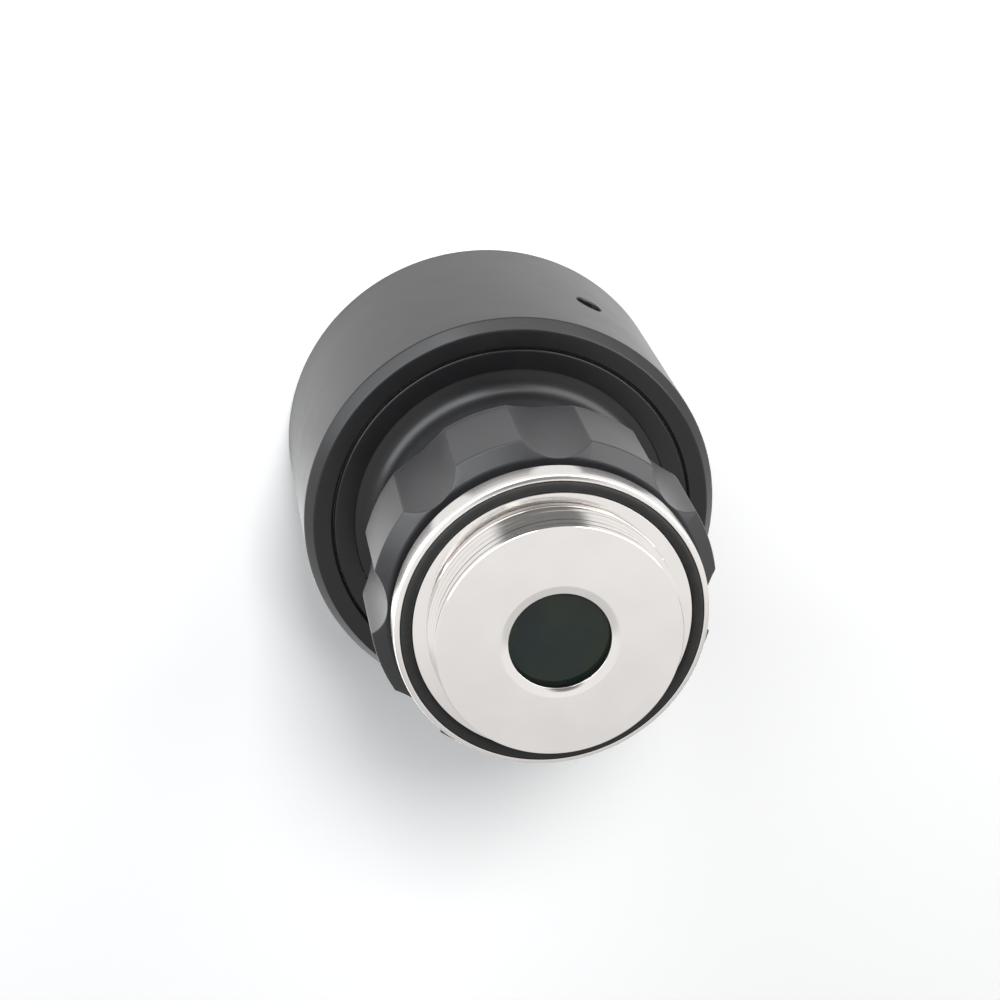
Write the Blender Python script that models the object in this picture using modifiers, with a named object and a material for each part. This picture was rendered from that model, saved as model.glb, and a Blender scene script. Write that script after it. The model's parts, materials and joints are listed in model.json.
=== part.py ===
# Endoscope camera coupler: a screw-thread camera adapter with a sealed window, a fluted
# focus ring that drives a lens cell through helical grooves, and a clamp sleeve whose
# spiral cam moves three jaws behind an endoscope's eyecup.
# Metres, +Z up. The coupler stands on its rear rim, with the camera thread at the top.
import math

import bmesh
import bpy
from mathutils import Matrix

mm = 0.001
deg = math.pi / 180

# Clearances and mesh density
gap = 0.3 * mm  # between pieces that slide, turn or rest on each other
fine_gap = 0.15 * mm  # round seals and pressed pieces
overcut = 0.5 * mm  # how far a cutter runs past the face it opens
wide_steps = 32  # steps round a piece that shows
plain_steps = 24  # steps round a piece inside
lens_steps = 16  # steps round a lens
lens_curve_steps = 3  # steps from a lens's axis to its rim
flute_steps = 24
hole_steps = 16
screw_steps = 12
pin_steps = 10
small_hole_steps = 8
hexagon_steps = 6
fillet_steps = 3
edge_round_steps = 2
slot_end_steps = 2
shown_seal_sides = 7
hidden_seal_sides = 4
cam_lobe_points = 15
sharp_angle = 35 * deg

# Camera thread adapter; the thread's radius sets every radius outside the glass
overall_height = 57.4 * mm
thread_radius = 12.65 * mm
thread_edge = 0.3 * mm
shoulder_drop = 4.2 * mm
flange_width = 3.25 * mm
flange_thickness = 2.6 * mm
flange_round = 0.5 * mm
tail_length = 4.5 * mm
tail_wall = 3.4 * mm
aperture_radius = 5.12 * mm
bezel_width = 0.75 * mm
bezel_depth = 0.7 * mm
lip_thickness = 0.2 * mm
front_window_rest = 1.4 * mm  # how far the window reaches under the bezel
front_window_thickness = 1.5 * mm
window_bore_height = 0.5 * mm

# Seals, round in section
flange_seal_inset = 1.25 * mm
flange_seal_section = 0.45 * mm
flange_seal_stand = 0.2 * mm
focus_seal_section = 0.42 * mm
focus_seal_inset = 1.5 * mm
sleeve_seal_section = 0.6 * mm
sleeve_seal_drop = 3.1 * mm

# Gaskets and threaded retaining rings
gasket_thickness = 0.3 * mm
gasket_width = 0.9 * mm
retainer_thickness = 1.0 * mm
retainer_width = 1.2 * mm
spanner_slot_width = 0.9 * mm
spanner_slot_depth = 0.4 * mm

# Main body, screwed into the rear hub at the shoulder
barrel_inset = 1.8 * mm  # from the flange's edge in to the barrel
tail_recess_wall = 0.8 * mm
cell_wall = 2.1 * mm
joint_edge = 0.25 * mm
neck_step = 0.6 * mm
neck_fillet = 2.3 * mm
fillet_step = 0.12 * mm
shoulder_width = 2.4 * mm
joint_flange_thickness = 1.6 * mm
spigot_step = 1.5 * mm
spigot_length = 6.0 * mm
hub_flange_thickness = 1.5 * mm
light_bore_radius = 9.5 * mm

# Clamp sleeve
sleeve_height = 26.7 * mm
sleeve_wall = 3.0 * mm
sleeve_pocket_wall = 1.15 * mm
sleeve_chamfer_width = 1.0 * mm
sleeve_chamfer_height = 1.3 * mm
rim_edge = 0.35 * mm

# Focus ring
ring_wall = 3.35 * mm
ring_lip_drop = 1.55 * mm
ring_length = 14.4 * mm
ring_front_space = 1.2 * mm
front_cone_length = 1.4 * mm
rear_cone_length = 2.3 * mm
rear_cone_land = 0.2 * mm
ring_inner_edge = 0.25 * mm
flute_count = 8
flute_depth = 1.65 * mm
flute_share = 0.5  # of each pitch, measured round the lands
washer_thickness = 0.6 * mm
washer_width = 1.1 * mm

# Focus drive
pin_count = 3
pin_radius = 1.2 * mm
pin_length = 5.1 * mm
pin_reach = 0.9 * mm  # past the barrel, into the ring's groove
pin_rise = 5.9 * mm  # above the ring's rear face
pin_first_angle = 30 * deg
focus_half_turn = 50 * deg
focus_half_travel = 1.5 * mm

# Lens cell
cell_drop = 9.9 * mm  # from the pins down to the cell's rear face
cell_length = 12.0 * mm
cell_floor_space = 2.0 * mm
cell_lip_height = 1.2 * mm
cell_lip_width = 0.9 * mm
lens_radius = 7.5 * mm
strong_curve = 24.0 * mm
weak_curve = 34.0 * mm
flint_edge = 2.0 * mm
crown_edge = 0.6 * mm
doublet_space = 0.4 * mm

# Clamp jaws and their cam
jaw_count = 3
jaw_bottom = 1.9 * mm
jaw_height = 3.3 * mm
jaw_width = 12.0 * mm
jaw_overhang = 2.0 * mm  # of the closed jaws over the socket's wall
jaw_grip_flare = 1.2 * mm
jaw_nose = 1.2 * mm
follower_radius = 1.5 * mm
follower_inset = 0.3 * mm
jaw_travel = 1.8 * mm
sleeve_turn = 35 * deg
jaw_first_angle = 90 * deg
cam_wall = 0.6 * mm
cam_lead_in = 6 * deg
cam_dwell = 19 * deg

# Eyecup socket
seat_height = 10.0 * mm
post_wall = 1.7 * mm

# Rear window
rear_window_radius = 8.5 * mm
rear_window_thickness = 1.4 * mm
rear_window_inset = 0.2 * mm
rear_lip_width = 1.1 * mm
rear_lip_height = 1.2 * mm

# Sleeve retaining ring
rear_ring_bottom = 0.5 * mm
rear_ring_inset = 0.2 * mm
spanner_hole_count = 4
spanner_hole_radius = 0.6 * mm
spanner_hole_depth = 0.6 * mm

# Stop screw, in the hole through the sleeve's wall
stop_drop = 12.3 * mm
stop_angle = 246 * deg
stop_hole_radius = 1.55 * mm
stop_tip_radius = 0.9 * mm
stop_sink = 0.7 * mm
stop_slot_depth = 1.0 * mm
stop_socket_radius = 0.7 * mm
stop_socket_depth = 1.1 * mm

# Sleeve return spring
spring_wire_radius = 0.4 * mm
spring_drop = 5.5 * mm
spring_recess_height = 4.6 * mm
spring_recess_depth = 1.8 * mm
spring_leg_length = 2.0 * mm
spring_turns = 3
spring_points_per_turn = 14

# Radii that follow from the thread outwards, then in again to the eyecup
flange_radius = thread_radius + flange_width
flange_seal_radius = flange_radius - flange_seal_inset
front_window_radius = aperture_radius + front_window_rest
barrel_radius = flange_radius - barrel_inset
tail_recess_radius = barrel_radius - tail_recess_wall
tail_radius = tail_recess_radius - gap
tail_bore_radius = tail_radius - tail_wall
cell_bore_radius = barrel_radius - cell_wall
cell_radius = cell_bore_radius - gap
cell_lip_radius = lens_radius - cell_lip_width
ring_bore = barrel_radius + gap
ring_radius = ring_bore + ring_wall
ring_lip_radius = ring_radius - ring_lip_drop
flute_floor_radius = ring_radius - flute_depth
pin_tip_radius = barrel_radius + pin_reach
focus_groove_depth = pin_tip_radius + gap - ring_bore
neck_radius = barrel_radius + neck_step
joint_radius = neck_radius + neck_fillet
spigot_radius = joint_radius - spigot_step
hub_bore = spigot_radius + gap
hub_counterbore = joint_radius + gap
hub_radius = joint_radius + shoulder_width
spring_recess_floor = hub_radius - spring_recess_depth
spring_radius = (spring_recess_floor + hub_radius) / 2
sleeve_bore = hub_radius + gap
sleeve_radius = sleeve_bore + sleeve_wall
sleeve_pocket = sleeve_radius - sleeve_pocket_wall
hub_flange_radius = sleeve_pocket - gap
cam_radius = sleeve_pocket - fine_gap
cam_high = cam_radius - cam_wall
cam_rest = cam_high - jaw_travel * (sleeve_turn + cam_lead_in) / sleeve_turn
cam_low = cam_rest - jaw_travel * cam_lead_in / sleeve_turn
jaw_tip_radius = cam_rest - gap
jaw_back_radius = jaw_tip_radius - jaw_nose
post_radius = cam_low - gap
socket_radius = post_radius - post_wall
jaw_grip_radius = socket_radius - jaw_overhang
rear_ring_inner_radius = socket_radius + rear_ring_inset
rear_lip_radius = rear_window_radius - rear_lip_width

# Heights that follow
flange_bottom = jaw_bottom + jaw_height + gap
flange_top = flange_bottom + hub_flange_thickness
sleeve_ledge = flange_top + gap
adapter_shoulder = overall_height - shoulder_drop
adapter_flange_bottom = adapter_shoulder - flange_thickness
body_front = adapter_flange_bottom - gap
ring_front = adapter_flange_bottom - ring_front_space
ring_rear = ring_front - ring_length
neck_top = ring_rear - gap
pin_height = ring_rear + pin_rise
cell_bottom = pin_height - cell_drop
cell_bore_floor = cell_bottom - cell_floor_space
tail_bottom = adapter_flange_bottom - tail_length
tail_recess_floor = tail_bottom - gap
rear_window_top = seat_height + rear_window_inset + retainer_thickness + gap + rear_window_thickness
rear_window_floor = rear_window_top + gap + gasket_thickness + gap
joint_front = sleeve_height - fillet_step
joint_seat = joint_front - joint_flange_thickness
spigot_bottom = joint_seat - spigot_length
stop_height = sleeve_height - stop_drop
spring_recess_top = sleeve_height - spring_drop
spring_recess_bottom = spring_recess_top - spring_recess_height
spring_low = spring_recess_bottom + gap + spring_wire_radius
slot_end_share = 0.98  # of the pin slot's half width, so that its ends stay just short of pointed


def clear_scene():
    for thing in list(bpy.data.objects):
        bpy.data.objects.remove(thing, do_unlink=True)


def new_collection(name):
    group = bpy.data.collections.new(name)
    bpy.context.scene.collection.children.link(group)
    return group


clear_scene()
parts = new_collection("endoscope_camera_coupler")
cutters = new_collection("cutters")


def finish(name, colour, roughness, metallic, clear=0.0):
    look = bpy.data.materials.new(name)
    look.use_nodes = True
    shader = look.node_tree.nodes["Principled BSDF"]
    shader.inputs["Base Color"].default_value = (*colour, 1.0)
    shader.inputs["Roughness"].default_value = roughness
    shader.inputs["Metallic"].default_value = metallic
    shader.inputs["Transmission Weight"].default_value = clear
    look.diffuse_color = (*colour, 1.0)
    return look


black_anodised = dict(colour=(0.022, 0.022, 0.024), roughness=0.38, metallic=0.0)
stainless = dict(colour=(0.78, 0.76, 0.74), roughness=0.28, metallic=1.0)
black_rubber = dict(colour=(0.012, 0.012, 0.012), roughness=0.55, metallic=0.0)
black_acetal = dict(colour=(0.02, 0.02, 0.02), roughness=0.45, metallic=0.0)
coated_glass = dict(colour=(0.05, 0.09, 0.075), roughness=0.03, metallic=0.0, clear=0.8)
brass = dict(colour=(0.72, 0.53, 0.25), roughness=0.3, metallic=1.0)
bronze = dict(colour=(0.55, 0.36, 0.2), roughness=0.35, metallic=1.0)
spring_steel = dict(colour=(0.5, 0.5, 0.5), roughness=0.3, metallic=1.0)


def new_object(name, data, look=None):
    thing = bpy.data.objects.new(name, data)
    if look is None:
        cutters.objects.link(thing)
        thing.display_type = "WIRE"
        thing.hide_render = True
    else:
        parts.objects.link(thing)
        data.materials.append(finish(name, **look))
    return thing


def evaluated_mesh(thing):
    bpy.context.view_layer.update()
    return bpy.data.meshes.new_from_object(thing.evaluated_get(bpy.context.evaluated_depsgraph_get()))


def arc(centre, radius, start, end, steps):
    turns = [start + (end - start) * step / steps for step in range(steps + 1)]
    return [(centre[0] + radius * math.cos(turn), centre[1] + radius * math.sin(turn)) for turn in turns]


def profile_mesh(name, outline, closed):
    outline_mesh = bpy.data.meshes.new(name)
    edges = [(index, index + 1) for index in range(len(outline) - 1)]
    if closed:
        edges.append((len(outline) - 1, 0))
    outline_mesh.from_pydata([(radius, 0.0, height) for radius, height in outline], edges, [])
    return outline_mesh


# A profile of (radius, height) points, down its outer side, turned about the axis
def turned(name, outline, look=None, steps=plain_steps, closed=True, angle=2 * math.pi, rise=0.0):
    thing = new_object(name, profile_mesh(name, outline, closed), look)
    screw = thing.modifiers.new("Turn", "SCREW")
    screw.angle = angle
    screw.screw_offset = rise
    screw.steps = steps
    screw.render_steps = steps
    screw.use_merge_vertices = angle >= 2 * math.pi
    screw.merge_threshold = 0.00001
    return thing


def ring_outline(inner, outer, bottom, top):
    return [(inner, top), (outer, top), (outer, bottom), (inner, bottom)]


def seal(name, radius, height, section, steps=plain_steps, sides=hidden_seal_sides):
    outline = arc((radius, height), section, math.pi / 2, math.pi / 2 - 2 * math.pi, sides)[:-1]
    return turned(name, outline, black_rubber, steps)


def cut(thing, cutter, operation="DIFFERENCE"):
    boolean = thing.modifiers.new("Cut", "BOOLEAN")
    boolean.operation = operation
    boolean.solver = "EXACT"
    boolean.object = cutter


def joined_cutter(name, pieces):
    mesh = bpy.data.meshes.new(name)
    pieces.to_mesh(mesh)
    pieces.free()
    return new_object(name, mesh)


def about_axis(angle, radius, height):
    return Matrix.Rotation(angle, 4, "Z") @ Matrix.Translation((radius, 0.0, height))


radial = Matrix.Rotation(math.pi / 2, 4, "Y")


# A closed sweep part of the way round, for a slot or a helical groove
def groove_cutter(name, outline, middle, angle, rise=0.0):
    steps = max(2, round(wide_steps * angle / (2 * math.pi)))
    sweep = turned(name, outline, steps=steps, angle=angle, rise=rise)
    mesh = evaluated_mesh(sweep)
    sweep.modifiers.clear()
    body = bmesh.new()
    body.from_mesh(mesh)
    bmesh.ops.holes_fill(body, edges=body.edges, sides=len(outline))
    bmesh.ops.recalc_face_normals(body, faces=body.faces)
    body.transform(Matrix.Rotation(middle - angle / 2, 4, "Z") @ Matrix.Translation((0.0, 0.0, -rise / 2)))
    body.to_mesh(mesh)
    body.free()
    sweep.data = mesh
    return sweep


def spanner_slots(thing, radius, height):
    bar = bmesh.new()
    size = Matrix.Diagonal((2 * radius, spanner_slot_width, 2 * spanner_slot_depth, 1.0))
    bmesh.ops.create_cube(bar, size=1.0, matrix=Matrix.Translation((0.0, 0.0, height)) @ size)
    cut(thing, joined_cutter(thing.name + "_slots", bar))


def retaining_ring(name, outer, bottom, slots_on_top):
    outline = ring_outline(outer - retainer_width, outer, bottom, bottom + retainer_thickness)
    ring = turned(name, outline, black_anodised)
    slot_height = bottom + retainer_thickness if slots_on_top else bottom
    spanner_slots(ring, outer + overcut, slot_height)


def flat_washer(name, inner, outer, bottom, thickness, look):
    turned(name, ring_outline(inner, outer, bottom, bottom + thickness), look)


# Barrel and neck: carries the focus ring outside and the lens cell inside
def main_body():
    outline = [(barrel_radius - joint_edge, body_front), (barrel_radius, body_front - joint_edge)]
    outline += [(barrel_radius, neck_top), (neck_radius, neck_top)]
    fillet_centre = (joint_radius, joint_front + neck_fillet)
    outline += arc(fillet_centre, neck_fillet, math.pi, 1.5 * math.pi, fillet_steps)
    outline += [(joint_radius, joint_seat), (spigot_radius, joint_seat)]
    outline += [(spigot_radius, spigot_bottom), (light_bore_radius, spigot_bottom)]
    outline += [(light_bore_radius, cell_bore_floor), (cell_bore_radius, cell_bore_floor)]
    outline += [(cell_bore_radius, tail_recess_floor), (tail_recess_radius, tail_recess_floor)]
    outline += [(tail_recess_radius, body_front)]
    body = turned("main_body", outline, black_anodised, steps=wide_steps)
    cut(body, pin_slot_cutter())


# Hub: the sleeve turns on it, and the eyecup's socket and the jaw channels are in its rear
def rear_hub():
    seal_half_width = sleeve_seal_section + fine_gap
    seal_floor = sleeve_bore - fine_gap - 2 * sleeve_seal_section - gap
    seal_middle = sleeve_height - sleeve_seal_drop
    lip_top = rear_window_floor + rear_lip_height
    outline = [(hub_counterbore, sleeve_height), (hub_radius - joint_edge, sleeve_height)]
    outline += [(hub_radius, sleeve_height - joint_edge)]
    outline += [(hub_radius, seal_middle + seal_half_width), (seal_floor, seal_middle + seal_half_width)]
    outline += [(seal_floor, seal_middle - seal_half_width), (hub_radius, seal_middle - seal_half_width)]
    outline += [(hub_radius, spring_recess_top), (spring_recess_floor, spring_recess_top)]
    outline += [(spring_recess_floor, spring_recess_bottom), (hub_radius, spring_recess_bottom)]
    outline += [(hub_radius, flange_top), (hub_flange_radius, flange_top)]
    outline += [(hub_flange_radius, flange_bottom), (post_radius, flange_bottom)]
    outline += [(post_radius, jaw_bottom), (socket_radius, jaw_bottom), (socket_radius, seat_height)]
    outline += [(rear_window_radius + gap, seat_height), (rear_window_radius + gap, rear_window_floor)]
    outline += [(rear_lip_radius, rear_window_floor), (rear_lip_radius, lip_top)]
    outline += [(light_bore_radius, spigot_bottom - gap), (hub_bore, spigot_bottom - gap)]
    outline += [(hub_bore, joint_seat - gap), (hub_counterbore, joint_seat - gap)]
    hub = turned("rear_hub", outline, black_anodised, steps=wide_steps)
    cut(hub, jaw_channel_cutter())
    slot_floor = hub_radius - stop_slot_depth
    slot_half_height = stop_tip_radius + gap
    slot_outline = ring_outline(
        slot_floor, hub_radius + overcut, stop_height - slot_half_height, stop_height + slot_half_height
    )
    slot_reach = (stop_tip_radius + 2 * gap) / hub_radius
    slot_turn = sleeve_turn + 2 * slot_reach
    cut(hub, groove_cutter("stop_slot", slot_outline, stop_angle + sleeve_turn / 2, slot_turn))
    cut(hub, spring_hole_cutter())
    seal_radius = sleeve_bore - fine_gap - sleeve_seal_section
    seal("sleeve_seal", seal_radius, seal_middle, sleeve_seal_section)


def jaw_channel_cutter():
    channels = bmesh.new()
    length = hub_flange_radius - jaw_grip_radius
    size = Matrix.Diagonal((length, jaw_width + 2 * gap, flange_bottom - jaw_bottom + overcut, 1.0))
    for index in range(jaw_count):
        angle = jaw_first_angle + index * 2 * math.pi / jaw_count
        middle = about_axis(angle, jaw_grip_radius + length / 2, (flange_bottom + jaw_bottom - overcut) / 2)
        bmesh.ops.create_cube(channels, size=1.0, matrix=middle @ size)
    return joined_cutter("jaw_channels", channels)


def pin_angles():
    return [pin_first_angle + index * 2 * math.pi / pin_count for index in range(pin_count)]


def pin_slot_cutter():
    slots = bmesh.new()
    half_width = pin_radius + gap
    half_length = half_width + focus_half_travel
    wall_middle = (cell_bore_radius + barrel_radius) / 2
    depth = cell_wall + 2 * overcut
    for angle in pin_angles():
        slot = bmesh.ops.create_cube(slots, size=1.0)["verts"]
        edges = {edge for corner in slot for edge in corner.link_edges}
        bmesh.ops.scale(slots, vec=(depth, 2 * half_width, 2 * half_length), verts=slot)
        along = [edge for edge in edges if abs(edge.verts[0].co.x - edge.verts[1].co.x) > depth / 2]
        rounded = bmesh.ops.bevel(
            slots, geom=along, offset=half_width * slot_end_share, segments=slot_end_steps,
            affect="EDGES", profile=0.5,
        )
        corners = {corner for face in rounded["faces"] for corner in face.verts}
        corners |= {corner for corner in slot if corner.is_valid}
        bmesh.ops.transform(slots, matrix=about_axis(angle, wall_middle, pin_height), verts=list(corners))
    return joined_cutter("pin_slots", slots)


def spring_hole_cutter():
    hole = bmesh.new()
    radius = spring_wire_radius + gap
    depth = spring_leg_length + 2 * overcut
    middle = about_axis(0.0, spring_recess_floor - spring_leg_length / 2, spring_low) @ radial
    bmesh.ops.create_cone(
        hole, cap_ends=True, segments=small_hole_steps, radius1=radius, radius2=radius,
        depth=depth, matrix=middle,
    )
    return joined_cutter("spring_leg_hole", hole)


# Camera thread adapter, with the window and the seal it carries
def adapter():
    lip_bottom = overall_height - bezel_depth - lip_thickness
    window_top = lip_bottom - fine_gap
    window_bottom = window_top - front_window_thickness
    gasket_bottom = window_bottom - gap - gasket_thickness
    retainer_bottom = gasket_bottom - gap - retainer_thickness
    pocket_bottom = retainer_bottom - window_bore_height
    pocket_radius = front_window_radius + gap
    seal_floor = adapter_shoulder + flange_seal_stand - 2 * flange_seal_section - fine_gap
    seal_inner = flange_seal_radius - flange_seal_section - fine_gap
    seal_outer = flange_seal_radius + flange_seal_section + fine_gap
    round_centre = (flange_radius - flange_round, adapter_shoulder - flange_round)
    outline = [(aperture_radius + bezel_width, overall_height), (thread_radius - thread_edge, overall_height)]
    outline += [(thread_radius, overall_height - thread_edge), (thread_radius, adapter_shoulder)]
    outline += [(seal_inner, adapter_shoulder), (seal_inner, seal_floor), (seal_outer, seal_floor)]
    outline += [(seal_outer, adapter_shoulder)]
    outline += arc(round_centre, flange_round, math.pi / 2, 0.0, edge_round_steps)
    outline += [(flange_radius, adapter_flange_bottom), (tail_radius, adapter_flange_bottom)]
    outline += [(tail_radius, tail_bottom), (tail_bore_radius, tail_bottom)]
    outline += [(tail_bore_radius, pocket_bottom), (pocket_radius, pocket_bottom)]
    outline += [(pocket_radius, lip_bottom), (aperture_radius, lip_bottom)]
    outline += [(aperture_radius, overall_height - bezel_depth)]
    turned("c_mount_adapter", outline, stainless, steps=wide_steps)
    seal_height = seal_floor + fine_gap + flange_seal_section
    seal("flange_o_ring", flange_seal_radius, seal_height, flange_seal_section, wide_steps, shown_seal_sides)
    disc = [(0.0, window_top), (front_window_radius, window_top)]
    disc += [(front_window_radius, window_bottom), (0.0, window_bottom)]
    turned("front_window", disc, coated_glass, closed=False)
    gasket_outer = front_window_radius - fine_gap
    gasket_inner = gasket_outer - gasket_width
    flat_washer("window_gasket", gasket_inner, gasket_outer, gasket_bottom, gasket_thickness, black_rubber)
    retaining_ring("window_retainer", front_window_radius, retainer_bottom, slots_on_top=False)


# Fluted focus ring, with a helical groove in its bore for each pin
def focus_ring():
    seal_floor = ring_bore + 2 * focus_seal_section + fine_gap
    half_width = focus_seal_section + fine_gap
    seal_heights = (ring_front - focus_seal_inset - half_width, ring_rear + focus_seal_inset)
    outline = [(ring_bore + ring_inner_edge, ring_front), (ring_lip_radius, ring_front)]
    outline += [(ring_radius, ring_front - front_cone_length)]
    outline += [(ring_radius, ring_rear + rear_cone_land + rear_cone_length)]
    outline += [(ring_lip_radius, ring_rear + rear_cone_land), (ring_lip_radius, ring_rear)]
    outline += [(ring_bore, ring_rear)]
    for height in reversed(seal_heights):
        outline += [(ring_bore, height - half_width), (seal_floor, height - half_width)]
        outline += [(seal_floor, height + half_width), (ring_bore, height + half_width)]
    outline += [(ring_bore, ring_front - ring_inner_edge)]
    ring = turned("focus_ring", outline, black_anodised, steps=wide_steps)
    cut(ring, flute_cutter())
    half_height = pin_radius + gap
    groove_floor = ring_bore + focus_groove_depth
    groove = ring_outline(
        ring_bore - overcut, groove_floor, pin_height - half_height, pin_height + half_height
    )
    reach = (pin_radius + 2 * gap) / ring_bore
    turn = 2 * (focus_half_turn + reach)
    rise = -turn * focus_half_travel / focus_half_turn
    for index, angle in enumerate(pin_angles()):
        cut(ring, groove_cutter("focus_groove_" + str(index + 1), groove, angle, turn, rise))
    seal_radius = ring_bore - fine_gap + focus_seal_section
    for name, height in zip(("front_focus_seal", "rear_focus_seal"), seal_heights):
        seal(name, seal_radius, height, focus_seal_section)
    washer_bottom = ring_front + (ring_front_space - washer_thickness) / 2
    flat_washer(
        "thrust_washer", ring_bore, ring_bore + washer_width, washer_bottom, washer_thickness, black_acetal
    )


# Each flute is a cylinder whose circle passes through the two land edges and the flute's floor
def flute_cutter():
    half_angle = flute_share * math.pi / flute_count
    chord = ring_radius * math.sin(half_angle)
    depth = ring_radius * math.cos(half_angle) - flute_floor_radius
    flute_radius = (chord**2 + depth**2) / (2 * depth)
    flutes = bmesh.new()
    for index in range(flute_count):
        middle = about_axis(
            index * 2 * math.pi / flute_count, flute_floor_radius + flute_radius, ring_rear + ring_length / 2
        )
        bmesh.ops.create_cone(
            flutes, cap_ends=True, segments=flute_steps, radius1=flute_radius, radius2=flute_radius,
            depth=ring_length + 2 * overcut, matrix=middle,
        )
    return joined_cutter("flutes", flutes)


# Lens cell on three pins, and the glass inside it
def lens_cell():
    cell_top = cell_bottom + cell_length
    bore = lens_radius + gap
    lip_top = cell_bottom + cell_lip_height
    outline = [(bore, cell_top), (cell_radius, cell_top), (cell_radius, cell_bottom)]
    outline += [(cell_lip_radius, cell_bottom), (cell_lip_radius, lip_top), (bore, lip_top)]
    cell = turned("lens_cell", outline, black_anodised)
    seat_radius = pin_tip_radius - pin_length
    hole_radius = pin_radius + fine_gap
    holes = bmesh.new()
    for index, angle in enumerate(pin_angles()):
        hole_length = cell_radius + overcut - seat_radius + gap
        middle = about_axis(angle, seat_radius - gap + hole_length / 2, pin_height) @ radial
        bmesh.ops.create_cone(
            holes, cap_ends=True, segments=pin_steps, radius1=hole_radius, radius2=hole_radius,
            depth=hole_length, matrix=middle,
        )
        pin_outline = [(0.0, pin_length / 2), (pin_radius, pin_length / 2)]
        pin_outline += [(pin_radius, -pin_length / 2), (0.0, -pin_length / 2)]
        pin = turned("focus_pin_" + str(index + 1), pin_outline, stainless, pin_steps, closed=False)
        pin.matrix_world = about_axis(angle, seat_radius + pin_length / 2, pin_height) @ radial
    cut(cell, joined_cutter("pin_holes", holes))
    lens_stack(lip_top + gap)


def sag(curve, radius):
    return curve - math.sqrt(curve**2 - radius**2)


# Lens surface from the axis to the rim; bulge is +1 where it curves down to the rim
def lens_surface(vertex, curve, bulge):
    stops = [lens_radius * step / lens_curve_steps for step in range(lens_curve_steps + 1)]
    return [(stop, vertex - bulge * sag(curve, stop)) for stop in stops]


def lens(name, top, bottom):
    turned(name, top + list(reversed(bottom)), coated_glass, steps=lens_steps, closed=False)


def lens_stack(bottom):
    strong = sag(strong_curve, lens_radius)
    weak = sag(weak_curve, lens_radius)
    flat_rear = [(0.0, bottom), (lens_radius, bottom)]
    flint_rim = bottom + flint_edge
    lens("rear_flint_lens", lens_surface(flint_rim - strong, strong_curve, -1), flat_rear)
    crown_rim = flint_rim + gap
    crown_top = crown_rim + crown_edge
    lens(
        "rear_crown_lens",
        lens_surface(crown_top + weak, weak_curve, 1),
        lens_surface(crown_rim - strong, strong_curve, -1),
    )
    front_rim = crown_top + 2 * weak + doublet_space
    front_crown_top = front_rim + crown_edge
    lens(
        "front_crown_lens",
        lens_surface(front_crown_top + strong, strong_curve, 1),
        lens_surface(front_rim - weak, weak_curve, -1),
    )
    front_flint_rim = front_crown_top + gap
    front_flint_top = front_flint_rim + flint_edge
    flat_front = [(0.0, front_flint_top), (lens_radius, front_flint_top)]
    lens("front_flint_lens", flat_front, lens_surface(front_flint_rim + strong, strong_curve, 1))
    spacer_inner = lens_radius - retainer_width
    spacer_lift = weak - sag(weak_curve, spacer_inner)
    spacer_bottom = crown_top + gap
    spacer_top = front_rim - gap
    outline = [(spacer_inner, spacer_top - spacer_lift), (lens_radius, spacer_top)]
    outline += [(lens_radius, spacer_bottom), (spacer_inner, spacer_bottom + spacer_lift)]
    turned("lens_spacer", outline, black_anodised)
    retaining_ring("lens_retainer", lens_radius, front_flint_top + gap, slots_on_top=True)


# Rear window, held in the floor of the eyecup socket
def rear_window():
    window_bottom = rear_window_top - rear_window_thickness
    disc = [(0.0, rear_window_top), (rear_window_radius, rear_window_top)]
    disc += [(rear_window_radius, window_bottom), (0.0, window_bottom)]
    turned("rear_window", disc, coated_glass, closed=False)
    inner = rear_window_radius - gasket_width
    bottom = rear_window_top + gap
    flat_washer("rear_window_seal", inner, rear_window_radius, bottom, gasket_thickness, black_rubber)
    retainer_bottom = seat_height + rear_window_inset
    retaining_ring("rear_window_retainer", rear_window_radius, retainer_bottom, slots_on_top=False)


# Sleeve that turns on the hub, and the pieces that turn with it
def clamp_sleeve():
    chamfer_inner = sleeve_radius - sleeve_chamfer_width
    outline = [(sleeve_bore + joint_edge, sleeve_height), (chamfer_inner, sleeve_height)]
    outline += [(sleeve_radius, sleeve_height - sleeve_chamfer_height), (sleeve_radius, rim_edge)]
    outline += [(sleeve_radius - rim_edge, 0.0), (sleeve_pocket + rim_edge, 0.0), (sleeve_pocket, rim_edge)]
    outline += [(sleeve_pocket, sleeve_ledge), (sleeve_bore, sleeve_ledge)]
    outline += [(sleeve_bore, sleeve_height - joint_edge)]
    sleeve = turned("clamp_sleeve", outline, black_anodised, steps=wide_steps)
    hole = bmesh.new()
    length = sleeve_radius - sleeve_bore + 2 * overcut
    middle = about_axis(stop_angle, sleeve_bore - overcut + length / 2, stop_height) @ radial
    bmesh.ops.create_cone(
        hole, cap_ends=True, segments=hole_steps, radius1=stop_hole_radius, radius2=stop_hole_radius,
        depth=length, matrix=middle,
    )
    cut(sleeve, joined_cutter("stop_hole", hole))
    stop_screw()
    cam_ring()
    rear_retaining_ring()


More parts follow.
